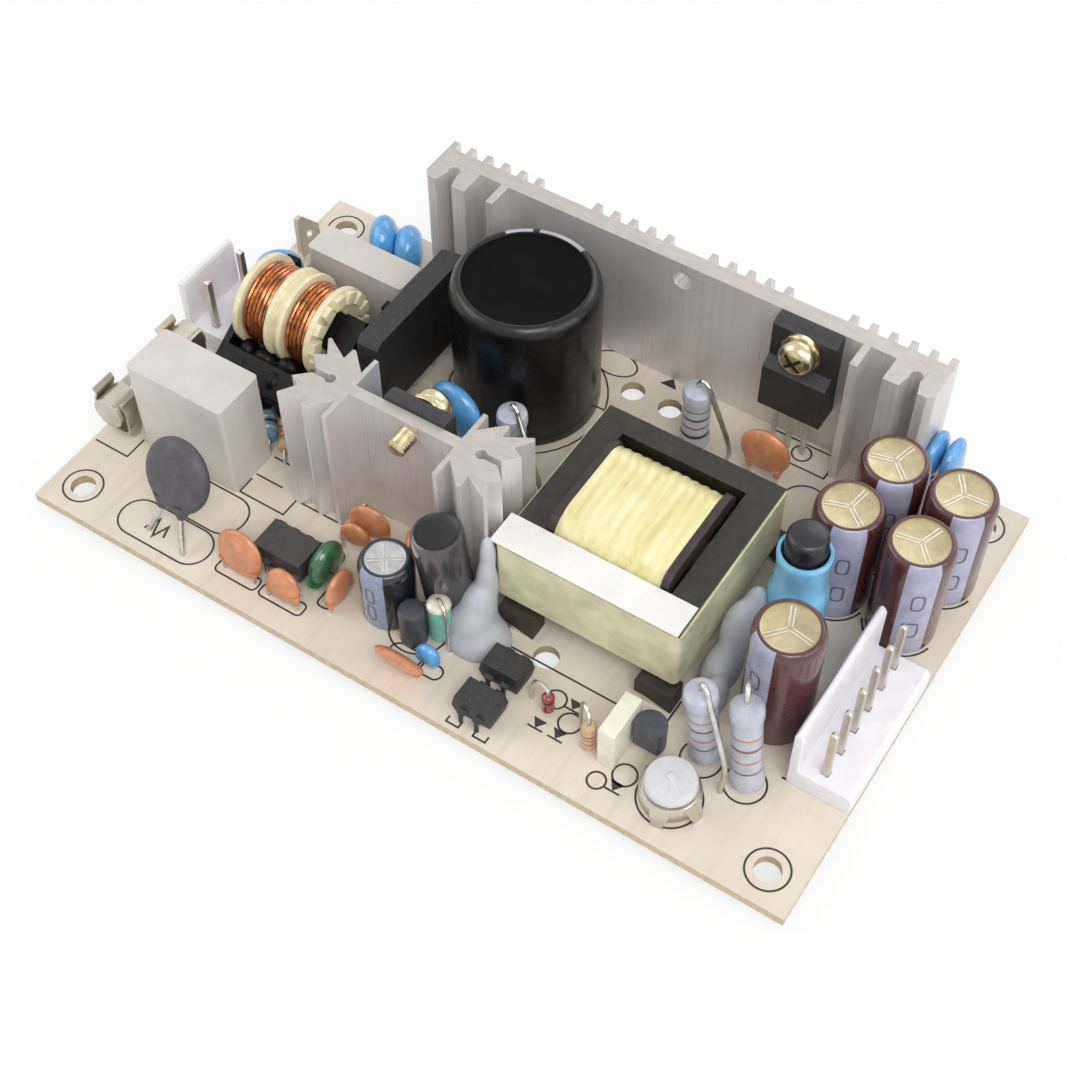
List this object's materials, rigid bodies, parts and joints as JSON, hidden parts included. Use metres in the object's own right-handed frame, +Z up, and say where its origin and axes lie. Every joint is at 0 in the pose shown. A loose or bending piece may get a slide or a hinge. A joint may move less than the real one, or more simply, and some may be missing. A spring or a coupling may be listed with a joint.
{
  "type": "open frame power supply",
  "caption": "Open frame switching power supply: a circuit board carrying finned heatsinks, a transformer, a mains choke, capacitors, a fuse and pin headers.",
  "frame": {"origin": "centre of the four mounting holes, on the circuit board's underside", "axes": "+Z up out of the component side, +X from the input header to the output header, +Y to the rear heatsink"},
  "size_m": [0.128, 0.0762, 0.0291],
  "materials": {
    "board": "matt phenolic laminate",
    "solder": "bright solder",
    "heatsink": "plain extruded",
    "package_black": "moulded",
    "screw_steel": "zinc plated",
    "black_sleeve": "shrink sleeve",
    "ferrite": "ground ferrite",
    "yellow_tape": "polyester tape",
    "bobbin_black": "moulded",
    "label_white": "paper label, bare",
    "bobbin_white": "moulded",
    "copper_wire": "enamelled wire",
    "film_box_grey": "moulded box",
    "header_white": "moulded nylon",
    "tin": "tinned",
    "fuse_glass": "clear tube",
    "thermistor_black": "dipped resin",
    "blue_epoxy": "dipped resin",
    "orange_epoxy": "dipped ceramic",
    "green_epoxy": "dipped resin",
    "inductor_sleeve": "shrink sleeve",
    "blue_sleeve": "clear shrink sleeve",
    "box_white": "moulded box",
    "trimmer_blue": "moulded",
    "trimmer_white": "moulded",
    "diode_glass": "glass body",
    "resistor_tan": "coated body",
    "resistor_blue": "coated body",
    "adhesive": "silicone"
  },
  "bodies": {
    "supply": {"box_capacitor": "box_white", "bridge_rectifier": "package_black", "bulk_capacitor": "black_sleeve", "ceramic_capacitors": "orange_epoxy", "choke_base": "bobbin_black", "choke_bobbin": "bobbin_white", "choke_core": "ferrite", "choke_winding_1": "copper_wire", "choke_winding_2": "copper_wire", "circuit_board": "board", "control_capacitor": "black_sleeve", "control_ic": "package_black", "dark_inductor": "inductor_sleeve", "earth_tab": "tin", "front_film_capacitor": "film_box_grey", "front_heatsink": "heatsink", "front_heatsink_screw": "screw_steel", "fuse": "fuse_glass", "fuse_clips": "tin", "green_film_capacitor": "green_epoxy", "heatsink_adhesive": "adhesive", "input_header_housing": "header_white", "input_header_pins": "tin", "input_safety_capacitors": "blue_epoxy", "optocoupler_1": "package_black", "optocoupler_2": "package_black", "output_capacitor_1": "black_sleeve", "output_capacitor_2": "black_sleeve", "output_capacitor_3": "black_sleeve", "output_capacitor_4": "black_sleeve", "output_capacitor_5": "black_sleeve", "output_header_housing": "header_white", "output_header_pins": "tin", "output_rectifier": "package_black", "output_safety_capacitors": "blue_epoxy", "power_resistor_1": "resistor_blue", "power_resistor_2": "resistor_blue", "power_resistor_3": "resistor_blue", "power_resistor_4": "resistor_blue", "rear_film_capacitor": "film_box_grey", "rear_heatsink": "heatsink", "rear_heatsink_screw": "screw_steel", "sleeved_inductor_core": "ferrite", "sleeved_inductor_sleeve": "blue_sleeve", "small_diodes": "diode_glass", "small_inductor": "inductor_sleeve", "small_resistors": "resistor_tan", "small_transistors": "package_black", "solder_joints": "solder", "switching_transistor": "package_black", "thermistor": "thermistor_black", "transformer_adhesive": "adhesive", "transformer_bobbin": "bobbin_black", "transformer_core_left": "ferrite", "transformer_core_right": "ferrite", "transformer_label": "label_white", "transformer_tape": "yellow_tape", "transformer_winding": "yellow_tape", "trimmer_body": "trimmer_blue"},
    "trimmer": {"trimmer_rotor": "trimmer_white"}
  },
  "joints": [
    {"name": "trimmer_turn", "type": "hinge", "parent": "supply", "child": "trimmer", "pos_m": [0.0424, -0.0307, 0.00475], "axis": [0, 0, 1], "range_deg": [-120, 120]}
  ]
}
